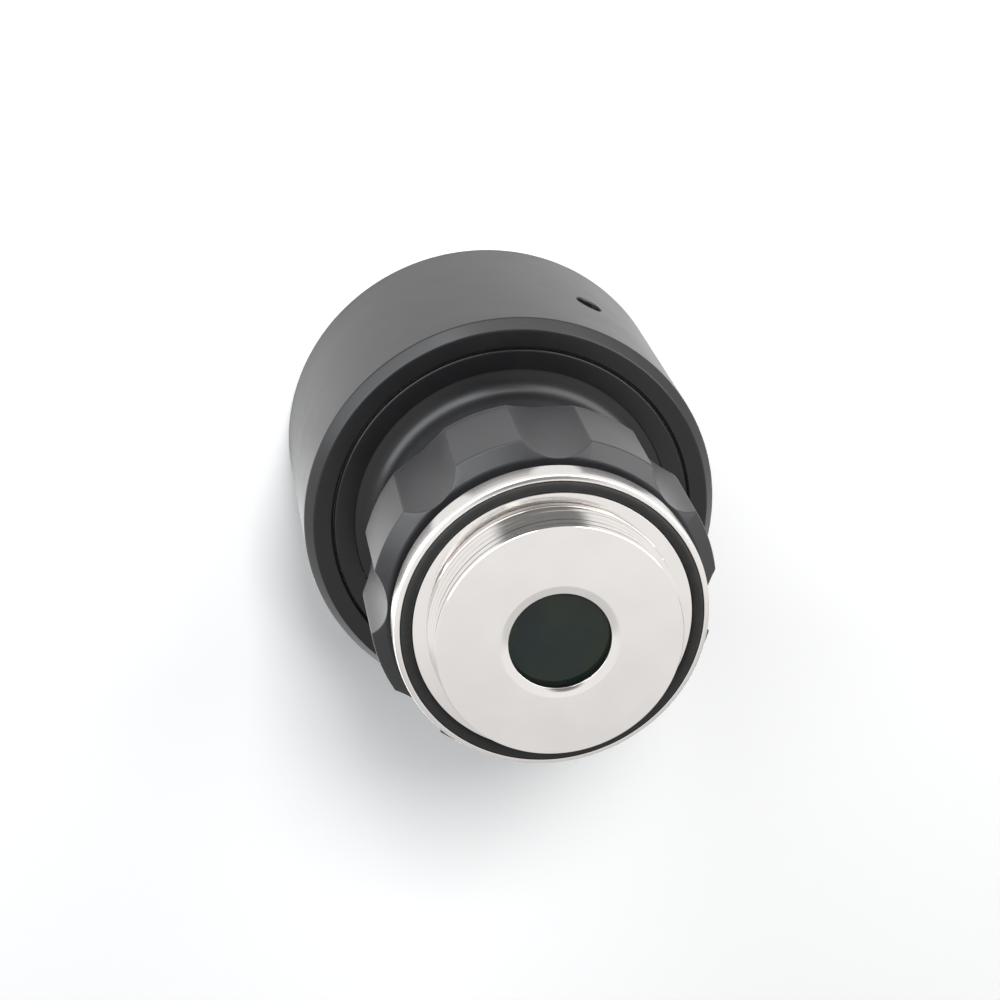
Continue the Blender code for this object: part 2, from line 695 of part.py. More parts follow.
# Grub screw: its tip runs in the hub's slot and limits the sleeve's turn
def stop_screw():
    thread = stop_hole_radius - gap
    head = sleeve_radius - stop_sink
    tip = hub_radius - stop_slot_depth + gap
    tip_end = sleeve_bore + fine_gap
    outline = [(0.0, head), (thread, head), (thread, tip_end + thread - stop_tip_radius)]
    outline += [(stop_tip_radius, tip_end), (stop_tip_radius, tip), (0.0, tip)]
    screw = turned("stop_screw", outline, stainless, screw_steps, closed=False)
    screw.matrix_world = about_axis(stop_angle, 0.0, stop_height) @ radial
    socket = bmesh.new()
    middle = about_axis(stop_angle, head, stop_height) @ radial
    bmesh.ops.create_cone(
        socket, cap_ends=True, segments=hexagon_steps, radius1=stop_socket_radius, radius2=stop_socket_radius,
        depth=2 * stop_socket_depth, matrix=middle,
    )
    cut(screw, joined_cutter("stop_socket", socket))


# Cam radius at an angle from a jaw's middle, against the sleeve's turn: an even spiral, a
# dwell, and a smooth return to the next lobe
def cam_profile(angle):
    ramp_end = sleeve_turn + cam_lead_in
    dwell_end = ramp_end + cam_dwell
    if angle <= ramp_end:
        return cam_rest + jaw_travel * angle / sleeve_turn
    if angle <= dwell_end:
        return cam_high
    return_end = 2 * math.pi / jaw_count - cam_lead_in
    share = (angle - dwell_end) / (return_end - dwell_end)
    return cam_high + (cam_low - cam_high) * (1 - math.cos(math.pi * share)) / 2


def cam_ring():
    drawing = bpy.data.curves.new("cam_ring", "CURVE")
    drawing.dimensions = "2D"
    drawing.fill_mode = "BOTH"
    drawing.extrude = jaw_height / 2
    lobe = 2 * math.pi / jaw_count
    inner = []
    for index in range(jaw_count):
        for step in range(cam_lobe_points):
            angle = -cam_lead_in + lobe * step / cam_lobe_points
            inner.append((cam_profile(angle), jaw_first_angle + index * lobe - angle))
    outer = [(cam_radius, 2 * math.pi * step / wide_steps) for step in range(wide_steps)]
    for loop in (sorted(inner, key=lambda point: point[1]), outer):
        spline = drawing.splines.new("POLY")
        spline.points.add(len(loop) - 1)
        for point, (radius, angle) in zip(spline.points, loop):
            point.co = (radius * math.cos(angle), radius * math.sin(angle), 0.0, 1.0)
        spline.use_cyclic_u = True
    ring = new_object("cam_ring_drawing", drawing)
    ring.location.z = jaw_bottom + jaw_height / 2
    mesh_from_curve("cam_ring", ring, bronze)


def mesh_from_curve(name, drawing, look):
    mesh = evaluated_mesh(drawing)
    welded = bmesh.new()
    welded.from_mesh(mesh)
    bmesh.ops.remove_doubles(welded, verts=welded.verts, dist=0.000001)
    bmesh.ops.recalc_face_normals(welded, faces=welded.faces)
    welded.to_mesh(mesh)
    welded.free()
    mesh.materials.clear()
    thing = new_object(name, mesh, look)
    thing.matrix_world = drawing.matrix_world
    bpy.data.objects.remove(drawing, do_unlink=True)
    return thing


def rear_retaining_ring():
    top = jaw_bottom - gap
    outline = ring_outline(rear_ring_inner_radius, cam_radius, rear_ring_bottom, top)
    ring = turned("rear_retaining_ring", outline, black_anodised, steps=wide_steps)
    holes = bmesh.new()
    middle_radius = (rear_ring_inner_radius + cam_radius) / 2
    for index in range(spanner_hole_count):
        angle = (index + 0.5) * 2 * math.pi / spanner_hole_count
        bmesh.ops.create_cone(
            holes, cap_ends=True, segments=small_hole_steps,
            radius1=spanner_hole_radius, radius2=spanner_hole_radius,
            depth=2 * spanner_hole_depth, matrix=about_axis(angle, middle_radius, rear_ring_bottom),
        )
    cut(ring, joined_cutter("spanner_holes", holes))


# Jaw: a sector of a turned ring with a conical grip face, and a round cam follower
def jaws():
    top = jaw_bottom + jaw_height
    grip_top = jaw_grip_radius + jaw_grip_flare
    outline = [(grip_top, top), (jaw_back_radius, top), (jaw_back_radius, jaw_bottom)]
    outline += [(jaw_grip_radius, jaw_bottom)]
    for index in range(jaw_count):
        angle = jaw_first_angle + index * 2 * math.pi / jaw_count
        name = "jaw_" + str(index + 1)
        jaw = turned(name, outline, brass, steps=wide_steps)
        block = bmesh.new()
        size = Matrix.Diagonal((2 * jaw_back_radius, jaw_width, 2 * jaw_height, 1.0))
        middle = about_axis(angle, jaw_back_radius, jaw_bottom + jaw_height / 2)
        bmesh.ops.create_cube(block, size=1.0, matrix=middle @ size)
        cut(jaw, joined_cutter(name + "_block", block), "INTERSECT")
        follower = bmesh.new()
        bmesh.ops.create_cone(
            follower, cap_ends=True, segments=hole_steps, radius1=follower_radius, radius2=follower_radius,
            depth=jaw_height - 2 * follower_inset,
            matrix=about_axis(angle, jaw_tip_radius - follower_radius, jaw_bottom + jaw_height / 2),
        )
        cut(jaw, joined_cutter(name + "_follower", follower), "UNION")


# Torsion spring round the hub: its lower leg is held in the hub
def return_spring():
    climb = spring_recess_height - 2 * (gap + spring_wire_radius)
    count = spring_turns * spring_points_per_turn
    points = [(spring_recess_floor - spring_leg_length, 0.0, spring_low), (spring_radius, 0.0, spring_low)]
    for step in range(1, count):
        angle = 2 * math.pi * step / spring_points_per_turn
        height = spring_low + climb * step / count
        points.append((spring_radius * math.cos(angle), spring_radius * math.sin(angle), height))
    wire = bpy.data.curves.new("sleeve_return_spring", "CURVE")
    wire.dimensions = "3D"
    wire.bevel_depth = spring_wire_radius
    wire.bevel_resolution = 0
    wire.use_fill_caps = True
    spline = wire.splines.new("POLY")
    spline.points.add(len(points) - 1)
    for point, place in zip(spline.points, points):
        point.co = (*place, 1.0)
    mesh_from_curve("sleeve_return_spring", new_object("spring_drawing", wire), spring_steel)


# Applied meshes, smooth round the turned faces and sharp at the machined edges
def apply_and_shade():
    for thing in parts.objects:
        look = thing.data.materials[0]
        thing.data = evaluated_mesh(thing)
        thing.modifiers.clear()
        thing.data.shade_smooth()
        thing.data.set_sharp_from_angle(angle=sharp_angle)
        thing.data.materials.clear()
        thing.data.materials.append(look)


main_body()
rear_hub()
adapter()
focus_ring()
lens_cell()
rear_window()
clamp_sleeve()
jaws()
return_spring()
apply_and_shade()
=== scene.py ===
import json
import math

import bmesh
import bpy
from mathutils import Matrix, Quaternion, Vector


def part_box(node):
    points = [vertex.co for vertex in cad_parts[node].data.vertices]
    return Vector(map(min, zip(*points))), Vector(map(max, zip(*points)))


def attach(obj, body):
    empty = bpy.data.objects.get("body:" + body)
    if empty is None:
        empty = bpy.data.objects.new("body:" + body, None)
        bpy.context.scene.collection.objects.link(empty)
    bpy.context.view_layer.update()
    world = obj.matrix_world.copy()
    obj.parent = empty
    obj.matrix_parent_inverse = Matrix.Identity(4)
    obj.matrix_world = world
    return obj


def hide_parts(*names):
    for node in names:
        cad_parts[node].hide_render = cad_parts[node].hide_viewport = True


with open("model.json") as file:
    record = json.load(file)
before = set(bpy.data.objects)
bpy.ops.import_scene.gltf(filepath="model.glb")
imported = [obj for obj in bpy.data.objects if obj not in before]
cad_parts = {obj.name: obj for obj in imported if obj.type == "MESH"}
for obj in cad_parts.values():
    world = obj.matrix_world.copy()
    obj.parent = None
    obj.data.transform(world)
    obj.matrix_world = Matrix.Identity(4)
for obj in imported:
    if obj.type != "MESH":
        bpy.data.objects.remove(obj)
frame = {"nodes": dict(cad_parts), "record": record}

# Looks of the endoscope camera coupler. Each turned piece is spun again, finely, from the section
# of its CAD node, with its edges broken; threads, flutes and slots are then made as machined.
mm = 0.001
deg = math.pi / 180
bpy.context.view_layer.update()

view = dict(
    place=(41.6175, -97.3489, 254.9833),  # mm, in the CAD frame
    aim=(2.1, -3.5875, 30.0),
    roll=158.99,  # degrees
    lens=82.858,
    sensor=36.0,
)
stage = dict(
    floorSize=4.0,  # metres across
    floorDrop=0.02,  # mm under the rim
    floorColour=0.8,
    floorSeen=1.12,  # what the camera sees, so that the open floor is white
    floorFar=(110.0, 320.0),  # mm from the axis, where the floor that the camera sees turns even white
    floorDark=(22.7, 24.5),  # mm; nothing mirrors the floor under the rim
    liftTowards=(0.6, 0.8),  # along X and Y, the way in which the mirrored floor grows brighter
    liftFrom=14.0,  # mm that way
    liftTo=28.0,
    liftLevel=1.7,
    backFrom=60.0,  # mm along +Y, where the mirrored floor grows darker: the shadow's side
    backTo=95.0,
    backLevel=0.3,
    worldLevel=0.16,
    shadeLevel=0.22,  # the dark side of the room, seen in the steel
    shadeTowards=(-92.0, 60.0),  # azimuth and elevation in degrees
    shadeAngle=20.0,  # degrees from its middle to its edge
    shadeSoft=3.5,
    lowLevel=0.72,  # the side that the front face leans towards
    lowTowards=(-0.1, 0.995, 0.0),
    lowFrom=0.40,  # cosines of the angle from its middle
    lowTo=0.56,
)
# Towards is an azimuth and an elevation in degrees, distance and size are in mm
lamps = dict(
    right_panel=dict(towards=(-137.0, 18.0), distance=600.0, size=(640.0, 350.0), radiance=3.9),
    low_panel=dict(towards=(-85.0, 6.0), distance=600.0, size=(480.0, 120.0), radiance=3.6),
    left_panel=dict(
        towards=(-40.0, 18.0), distance=600.0, size=(820.0, 350.0), radiance=4.6, colour=(0.94, 0.975, 1.0),
    ),
    top_key=dict(towards=(-90.0, 56.0), distance=500.0, size=(130.0, 130.0), radiance=29.0, seen=False),
)


def camera():
    lensData = bpy.data.cameras.new("camera")
    lensData.lens = view["lens"]
    lensData.sensor_width = view["sensor"]
    lensData.clip_start = 0.01
    shot = bpy.data.objects.new("camera", lensData)
    bpy.context.scene.collection.objects.link(shot)
    spot = Vector(view["place"]) * mm
    look = (Vector(view["aim"]) * mm - spot).to_track_quat("-Z", "Y")
    shot.location = spot
    shot.rotation_mode = "QUATERNION"
    shot.rotation_quaternion = look @ Quaternion((0, 0, 1), view["roll"] * deg)
    bpy.context.scene.camera = shot


# A node socket that works in expressions, so that masks read as plain maths
class Shade:
    def __init__(self, tree, socket):
        self.tree = tree
        self.socket = socket

    def math(self, operation, *values):
        node = self.tree.nodes.new("ShaderNodeMath")
        node.operation = operation
        for entry, value in zip(node.inputs, values):
            feed(self.tree, entry, value)
        return Shade(self.tree, node.outputs[0])

    def __add__(self, other):
        return self.math("ADD", self, other)

    def __radd__(self, other):
        return self.math("ADD", other, self)

    def __sub__(self, other):
        return self.math("SUBTRACT", self, other)

    def __rsub__(self, other):
        return self.math("SUBTRACT", other, self)

    def __mul__(self, other):
        return self.math("MULTIPLY", self, other)

    def __rmul__(self, other):
        return self.math("MULTIPLY", other, self)

    def __truediv__(self, other):
        return self.math("DIVIDE", self, other)

    def __rtruediv__(self, other):
        return self.math("DIVIDE", other, self)

    def __pow__(self, other):
        return self.math("POWER", self, other)

    def __rpow__(self, other):
        return self.math("POWER", other, self)


def feed(tree, entry, value):
    if isinstance(value, Shade):
        tree.links.new(value.socket, entry)
    else:
        entry.default_value = value


# A material, or the world, and the one way in which its nodes are added
class Finish:
    def __init__(self, name, owner=None):
        self.owner = owner or bpy.data.materials.new(name)
        self.owner.use_nodes = True
        self.tree = self.owner.node_tree
        self.tree.nodes.clear()

    def add(self, kind, settings=None, inputs=None, output=0):
        node = self.tree.nodes.new("ShaderNode" + kind)
        for key, value in (settings or {}).items():
            setattr(node, key, value)
        for key, value in (inputs or {}).items():
            feed(self.tree, node.inputs[key], value)
        if isinstance(output, slice):
            return [Shade(self.tree, socket) for socket in node.outputs[output]]
        if node.outputs:
            return Shade(self.tree, node.outputs[output])

    def ramp(self, value, low, high):
        steps = {0: value, 1: low, 2: high, 3: 0.0, 4: 1.0}
        return self.add("MapRange", dict(interpolation_type="SMOOTHSTEP"), steps)

    def mix(self, share, *colours):
        first, second = (colour if isinstance(colour, Shade) else (*colour, 1) for colour in colours)
        return self.add("Mix", dict(data_type="RGBA"), {0: share, 6: first, 7: second}, output=2)

    def noise(self, where, scale, detail=2.0, roughness=0.5):
        inputs = {"Vector": where, "Scale": scale, "Detail": detail, "Roughness": roughness}
        return self.add("TexNoise", None, inputs)

    def bump(self, height, distance, under=None):
        inputs = {"Height": height, "Distance": distance * mm}
        if under:
            inputs["Normal"] = under
        return self.add("Bump", None, inputs)

    def surface(self, shader):
        kind = "World" if isinstance(self.owner, bpy.types.World) else "Material"
        self.add("Output" + kind, None, {"Surface": shader})
        return self.owner

    # Two values: whether a ray is the camera's own, and whether it comes by way of gloss or glass
    def arrival(self):
        rays = {ray.socket.name: ray for ray in self.add("LightPath", None, None, slice(0, None))}
        indirect = rays["Is Glossy Ray"] + rays["Is Transmission Ray"]
        return rays["Is Camera Ray"], indirect.math("MINIMUM", indirect, 1.0)


def place(finish):
    return finish.add("TexCoord", output=3)


# X, Y and Z, and the distance from the optical axis, all in metres
def placed(finish):
    x, y, z = finish.add("SeparateXYZ", None, {0: place(finish)}, slice(0, 3))
    return x, y, z, (x * x + y * y) ** 0.5


# Radius, height and a slow drift round the axis, so that marks run round as a lathe tool leaves them
def turnedPlace(finish, scale, drift=0.6, side=(0.8, 0.6), least=0.01):
    x, y, z, radius = placed(finish)
    around = (x * side[0] + y * side[1]) / (radius + least * mm)
    return finish.add("CombineXYZ", None, {0: radius * (scale / mm), 1: z * (scale / mm), 2: around * drift})


# Scales are in features per mm, depths in mm
blackCoat = dict(
    dark=(0.0055, 0.0055, 0.0062), light=(0.0070, 0.0070, 0.0078), roughness=0.31, roughnessSpread=0.03,
    ior=1.45, haze=0.12, hazeRoughness=0.35, markScale=5.0, markDepth=0.0012,
    grainScale=9.0, grainDepth=0.0012, cloudScale=0.22, cloudEdges=(0.32, 0.68), markRoughness=0.05,
)
ringCoat = dict(blackCoat, dark=(0.0155, 0.0155, 0.0172), light=(0.0185, 0.0185, 0.0205), roughness=0.34)
steelTones = dict(
    dark=(0.80, 0.770, 0.745), light=(0.84, 0.810, 0.785), roughness=0.11, roughnessSpread=0.05,
    markScale=14.0, markDepth=0.0026, broadScale=0.18, broadShare=0.6,
    cloudScale=0.16, cloudEdges=(0.3, 0.7), cloudSpread=0.06,
)
# Blackened in its bore, and satin outside the seal; radii and height in mm
adapterTones = dict(
    steelTones, markDepth=0.0016, boreRadius=10.4, boreTop=57.12, satinRadius=15.2, satinRoughness=0.14,
    softEdge=0.1,
)
brassTones = dict(steelTones, dark=(0.62, 0.43, 0.17), light=(0.72, 0.52, 0.24), roughness=0.3)
bronzeTones = dict(steelTones, dark=(0.42, 0.25, 0.12), light=(0.52, 0.33, 0.18), roughness=0.34)
wireTones = dict(steelTones, dark=(0.36, 0.36, 0.37), light=(0.46, 0.46, 0.47), roughness=0.3)
nitrile = dict(
    dark=(0.008, 0.008, 0.008), light=(0.016, 0.015, 0.015), roughness=0.66, bloomScale=0.5,
    bloomEdges=(0.4, 0.75), bloomRoughness=0.12, grainScale=6.0, grainDepth=0.002,
)
acetal = dict(nitrile, roughness=0.42, grainDepth=0.001)
coating = dict(
    dark=(0.006, 0.016, 0.016), light=(0.020, 0.027, 0.014), body=0.8, ior=1.42, cloudScale=0.11,
    cloudEdges=(0.35, 0.65), roughness=0.03, roughnessSpread=0.03,
)


def anodised(name, tones):
    finish = Finish(name)
    marks = finish.noise(turnedPlace(finish, tones["markScale"]), 1.0, detail=3.0, roughness=0.6)
    grain = finish.noise(place(finish), tones["grainScale"] / mm, roughness=0.6)
    cloud = finish.noise(place(finish), tones["cloudScale"] / mm, detail=3.0, roughness=0.55)
    patchy = finish.ramp(cloud, *tones["cloudEdges"])
    rough = tones["roughness"] + tones["roughnessSpread"] * (patchy - 0.5)
    rough = rough + tones["markRoughness"] * (marks - 0.5)
    relief = finish.bump(marks, tones["markDepth"], finish.bump(grain, tones["grainDepth"]))
    inputs = {"Base Color": finish.mix(patchy, tones["dark"], tones["light"]), "Roughness": rough}
    inputs.update({"IOR": tones["ior"], "Normal": relief})
    inputs.update({"Sheen Weight": tones["haze"], "Sheen Roughness": tones["hazeRoughness"]})
    return finish.surface(finish.add("BsdfPrincipled", None, inputs))


def turnedMetal(name, tones):
    finish = Finish(name)
    marks = finish.noise(turnedPlace(finish, tones["markScale"]), 1.0, detail=4.0, roughness=0.65)
    broad = finish.noise(turnedPlace(finish, tones["markScale"] * tones["broadScale"]), 1.0)
    cloud = finish.noise(place(finish), tones["cloudScale"] / mm, detail=3.0)
    rough = tones["roughness"] + tones["roughnessSpread"] * (marks - 0.5)
    rough = rough + tones["cloudSpread"] * (cloud - 0.5)
    tone = finish.mix(finish.ramp(cloud, *tones["cloudEdges"]), tones["dark"], tones["light"])
    relief = finish.bump(marks + broad * tones["broadShare"], tones["markDepth"])
    metal = 1.0
    if "boreRadius" in tones:
        lengths = ("boreRadius", "boreTop", "satinRadius", "softEdge")
        bore, top, satin, soft = (tones[key] * mm for key in lengths)
        _, _, z, radius = placed(finish)
        inside = finish.ramp(radius, bore + soft, bore) * finish.ramp(z, top, top - soft)
        tone = finish.mix(inside, tone, blackCoat["dark"])
        metal = 1 - inside
        rough = rough + tones["satinRoughness"] * finish.ramp(radius, satin - soft / 2, satin + soft / 2)
    inputs = {"Base Color": tone, "Roughness": rough, "Metallic": metal, "Normal": relief}
    return finish.surface(finish.add("BsdfPrincipled", None, inputs))


def rubber(name, tones):
    finish = Finish(name)
    bloom = finish.noise(place(finish), tones["bloomScale"] / mm, detail=4.0)
    grain = finish.noise(place(finish), tones["grainScale"] / mm)
    inputs = {
        "Base Color": finish.mix(finish.ramp(bloom, *tones["bloomEdges"]), tones["dark"], tones["light"]),
        "Roughness": tones["roughness"] + tones["bloomRoughness"] * (bloom - 0.5),
        "Normal": finish.bump(grain, tones["grainDepth"]),
    }
    return finish.surface(finish.add("BsdfPrincipled", None, inputs))


def coatedGlass(name, tones):
    finish = Finish(name)
    haze = finish.ramp(finish.noise(place(finish), tones["cloudScale"] / mm), *tones["cloudEdges"])
    inputs = {
        "Base Color": finish.mix(haze, tones["dark"], tones["light"]),
        "Roughness": tones["roughness"] + tones["roughnessSpread"] * haze,
        "Alpha": tones["body"],
        "IOR": tones["ior"],
    }
    return finish.surface(finish.add("BsdfPrincipled", None, inputs))


looks = dict(
    black_anodised=anodised("black_anodised", blackCoat),
    ring_anodised=anodised("ring_anodised", ringCoat),
    stainless_steel=turnedMetal("stainless_steel", steelTones),
    adapter_steel=turnedMetal("adapter_steel", adapterTones),
    brass=turnedMetal("brass", brassTones),
    bronze=turnedMetal("bronze", bronzeTones),
    spring_steel=turnedMetal("spring_steel", wireTones),
    black_rubber=rubber("black_rubber", nitrile),
    black_acetal=rubber("black_acetal", acetal),
    coated_glass=coatedGlass("coated_glass", coating),
)
slots = {part["node"]: part["material_slot"] for part in frame["record"]["subparts"]}
bodies = {node: body for body, nodes in frame["record"]["behaviour"]["bodies"].items() for node in nodes}


# Unit vector to an azimuth and an elevation in degrees
def towards(azimuth, elevation):
    flat = math.cos(elevation * deg)
    return Vector((flat * math.cos(azimuth * deg), flat * math.sin(azimuth * deg), math.sin(elevation * deg)))


def softbox(name, size):
    lamp = bpy.data.lights.new(name, "AREA")
    lamp.shape = "RECTANGLE"
    lamp.size, lamp.size_y = (side * mm for side in size["size"])
    lamp.energy = size["radiance"] * math.pi * lamp.size * lamp.size_y
    lamp.color = size.get("colour", (1, 1, 1))
    thing = bpy.data.objects.new(name, lamp)
    bpy.context.scene.collection.objects.link(thing)
    direction = towards(*size["towards"])
    thing.location = (direction * size["distance"] + Vector((0, 0, view["aim"][2]))) * mm
    thing.rotation_mode = "QUATERNION"
    thing.rotation_quaternion = (-direction).to_track_quat("-Z", "Y")
    thing.visible_camera = False
    thing.visible_glossy = size.get("seen", True)
    thing.visible_transmission = size.get("seen", True)


def lighting():
    world = bpy.data.worlds.new("studio")
    bpy.context.scene.world = world
    sky = Finish("studio", world)
    direction = sky.add("TexCoord", output=0)
    inputs = {0: direction, 1: towards(*stage["shadeTowards"])}
    facing = sky.add("VectorMath", dict(operation="DOT_PRODUCT"), inputs, output=1)
    inner = math.cos((stage["shadeAngle"] - stage["shadeSoft"]) * deg)
    outer = math.cos((stage["shadeAngle"] + stage["shadeSoft"]) * deg)
    shaded = sky.ramp(facing, outer, inner)
    inputs = {0: direction, 1: stage["lowTowards"]}
    lowSide = sky.add("VectorMath", dict(operation="DOT_PRODUCT"), inputs, output=1)
    lowered = sky.ramp(lowSide, stage["lowFrom"], stage["lowTo"])
    straight, mirrored = sky.arrival()
    level = mirrored + (1 - mirrored) * stage["worldLevel"]
    dimmed = level * (1 - shaded * (1 - stage["shadeLevel"])) * (1 - lowered * (1 - stage["lowLevel"]))
    strength = straight + (1 - straight) * dimmed
    sky.surface(sky.add("Background", None, {"Color": strength, "Strength": 1.0}))
    for name, size in lamps.items():
        softbox(name, size)


def floor():
    mesh = bpy.data.meshes.new("floor")
    half = stage["floorSize"] / 2
    low = -stage["floorDrop"] * mm
    corners = [(-half, -half, low), (half, -half, low), (half, half, low), (-half, half, low)]
    mesh.from_pydata(corners, [], [(0, 1, 2, 3)])
    finish = Finish("pale_floor")
    straight, mirrored = finish.arrival()
    tone = finish.mix(straight, (stage["floorColour"],) * 3, (stage["floorSeen"],) * 3)
    matt = finish.add("BsdfDiffuse", None, {"Color": tone})
    x, y, _, out = placed(finish)
    clear = finish.ramp(out, *(radius * mm for radius in stage["floorDark"]))
    far = finish.ramp(out, *(radius * mm for radius in stage["floorFar"]))
    liftX, liftY = stage["liftTowards"]
    lift = finish.ramp(x * liftX + y * liftY, stage["liftFrom"] * mm, stage["liftTo"] * mm)
    back = finish.ramp(y, stage["backFrom"] * mm, stage["backTo"] * mm)
    level = (1 + lift * (stage["liftLevel"] - 1)) * (1 - back * (1 - stage["backLevel"]))
    level = level + straight * (1 - level)
    glow = finish.add("Emission", None, {"Color": level, "Strength": 1.0})
    share = mirrored * clear + straight * far
    mesh.materials.append(finish.surface(finish.add("MixShader", None, {0: share, 1: matt, 2: glow})))
    ground = bpy.data.objects.new("floor", mesh)
    bpy.context.scene.collection.objects.link(ground)


bpy.context.scene.view_settings.view_transform = "Standard"
camera()
lighting()
floor()
print("stage: camera, light and floor")


# Half section of a CAD node at an angle, as (radius, height) points in order. It is cut a little
# aside of the angle, so that no corner lies in its plane
def sectionOf(node, angle=45.0, aside=0.01, weld=0.001):
    half = bmesh.new()
    half.from_mesh(frame["nodes"][node].data)
    bmesh.ops.remove_doubles(half, verts=half.verts, dist=weld * mm)
    half.transform(Matrix.Rotation(-(angle + aside) * deg, 4, "Z"))
    geometry = [*half.verts, *half.edges, *half.faces]
    middle = dict(dist=1e-8, plane_co=(0, 0, 0), clear_inner=True)
    bmesh.ops.bisect_plane(half, geom=geometry, plane_no=(0, 1, 0), clear_outer=True, **middle)
    geometry = [*half.verts, *half.edges]
    bmesh.ops.bisect_plane(half, geom=geometry, plane_no=(1, 0, 0), **middle)
    bmesh.ops.remove_doubles(half, verts=half.verts, dist=weld * mm)
    ends = [corner for corner in half.verts if len(corner.link_edges) == 1]
    here = ends[0] if ends else half.verts[:][0]
    left = set(half.edges)
    outline = [Vector((here.co.x, here.co.z))]
    while True:
        onward = [edge for edge in here.link_edges if edge in left]
        if not onward:
            break
        left.remove(onward[0])
        here = onward[0].other_vert(here)
        outline.append(Vector((here.co.x, here.co.z)))
    half.free()
    closed = not ends
    return straightened(outline[:-1] if closed else outline, closed), closed


# Leaves out the points where the outline turns by less than an angle in degrees
def straightened(outline, closed, straight=0.5):
    kept = []
    for index, point in enumerate(outline):
        end = not closed and index in (0, len(outline) - 1)
        if not end:
            before = point - outline[index - 1]
            after = outline[(index + 1) % len(outline)] - point
            if before.angle(after) < straight * deg:
                continue
        kept.append(point)
    return kept


# Every corner is rounded: a sharp one by the edge break in mm, a shallow one, which is a sample of a
# curve, as far as its neighbours allow. Fine is (low radius, high radius, edge break), broad is
# (lowest radius, lowest height, edge break). Most is the share of the room that a break may take
def eased(outline, closed, edge, shallow=36.0, steps=4, fine=None, broad=None, most=0.9, broadMost=1.4):
    smooth = []
    for index, point in enumerate(outline):
        if not closed and index in (0, len(outline) - 1):
            smooth.append(point)
            continue
        back = outline[index - 1] - point
        ahead = outline[(index + 1) % len(outline)] - point
        room = min(back.length, ahead.length) / 2
        turn = 180 - back.angle(ahead, 0.0) / deg
        crisp = fine and fine[0] * mm < point.x < fine[1] * mm
        wide = broad and point.x > broad[0] * mm and point.y > broad[1] * mm
        wanted = broad[2] if wide else fine[2] if crisp else edge
        setback = room if turn < shallow else min(wanted * mm, room * (broadMost if wide else most))
        start = point + back.normalized() * setback
        end = point + ahead.normalized() * setback
        for step in range(steps + 1):
            share = step / steps
            smooth.append(start * (1 - share) ** 2 + point * 2 * share * (1 - share) + end * share**2)
    return smooth


# A mesh through columns of (radius, height) points, each at its own angle in degrees
def skinned(name, angles, columns, closed, whole=True, weld=0.0002):
    rows = len(columns[0])
    places = []
    for angle, column in zip(angles, columns):
        turn = (math.cos(angle * deg), math.sin(angle * deg))
        places += [(radius * turn[0], radius * turn[1], height) for radius, height in column]
    faces = []
    for number in range(len(columns) - 1):
        for row in range(rows if closed else rows - 1):
            near = number * rows + row
            far = number * rows + (row + 1) % rows
            faces.append((near, far, far + rows, near + rows))
    if not whole:
        faces.append(tuple(range(rows)))
        faces.append(tuple(range(len(places) - 1, len(places) - rows - 1, -1)))
    mesh = bpy.data.meshes.new(name)
    mesh.from_pydata(places, [], faces)
    welded = bmesh.new()
    welded.from_mesh(mesh)
    bmesh.ops.remove_doubles(welded, verts=welded.verts, dist=weld * mm)
    bmesh.ops.recalc_face_normals(welded, faces=welded.faces)
    welded.to_mesh(mesh)
    welded.free()
    return mesh


def evenAngles(steps):
    return [360 * step / steps for step in range(steps + 1)]


def spun(name, outline, closed, steps):
    return skinned(name, evenAngles(steps), [outline] * (steps + 1), closed)


def points(*pairs):
    return [Vector((radius * mm, height * mm)) for radius, height in pairs]


def linked(name, mesh):
    thing = bpy.data.objects.new(name, mesh)
    bpy.context.scene.collection.objects.link(thing)
    return thing


# Cuts are applied at once, so what is left is a plain mesh
def machine(thing, cutters, operation="DIFFERENCE"):
    for cutter in cutters:
        boolean = thing.modifiers.new("cut", "BOOLEAN")
        boolean.solver = "EXACT"
        boolean.operation = operation
        boolean.object = cutter
    bpy.context.view_layer.update()
    mesh = bpy.data.meshes.new_from_object(thing.evaluated_get(bpy.context.evaluated_depsgraph_get()))
    thing.modifiers.clear()
    thing.data = mesh
    for cutter in cutters:
        bpy.data.objects.remove(cutter)
    return thing


# Puts a finished piece in its node's place, on the node's body and in its material
def dress(thing, node, look=None, sharp=38):
    thing.name = node + "_shown"
    thing.data.materials.clear()
    thing.data.materials.append(looks[look or slots[node]])
    thing.data.shade_smooth()
    thing.data.set_sharp_from_angle(angle=sharp * deg)
    even = thing.modifiers.new("even_faces", "WEIGHTED_NORMAL")
    even.keep_sharp = True
    even.weight = 90
    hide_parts(node)
    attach(thing, bodies[node])


# A mesh through closed rings of points, one above the other, with a face at each end
def stacked(name, rings):
    body = bmesh.new()
    levels = [[body.verts.new(point) for point in ring] for ring in rings]
    for low, high in zip(levels, levels[1:]):
        for index in range(len(low)):
            onward = (index + 1) % len(low)
            body.faces.new((low[index], low[onward], high[onward], high[index]))
    body.faces.new(levels[0])
    body.faces.new(levels[-1])
    bmesh.ops.recalc_face_normals(body, faces=body.faces)
    mesh = bpy.data.meshes.new(name)
    body.to_mesh(mesh)
    body.free()
    return mesh


def block(size, matrix):
    scale = Matrix.Diagonal((*(value * mm for value in size), 1.0))
    body = bmesh.new()
    bmesh.ops.create_cube(body, size=1.0, matrix=matrix @ scale)
    mesh = bpy.data.meshes.new("block")
    body.to_mesh(mesh)
    body.free()
    return linked("block", mesh)


def rod(outline, matrix, steps=64):
    mesh = spun("rod", points(*outline), False, steps)
    mesh.transform(matrix)
    return linked("rod", mesh)


# A place out from the axis; its own Z points outwards when lying, up when standing
def standing(angle, radius, height):
    return Matrix.Rotation(angle * deg, 4, "Z") @ Matrix.Translation((radius * mm, 0, height * mm))


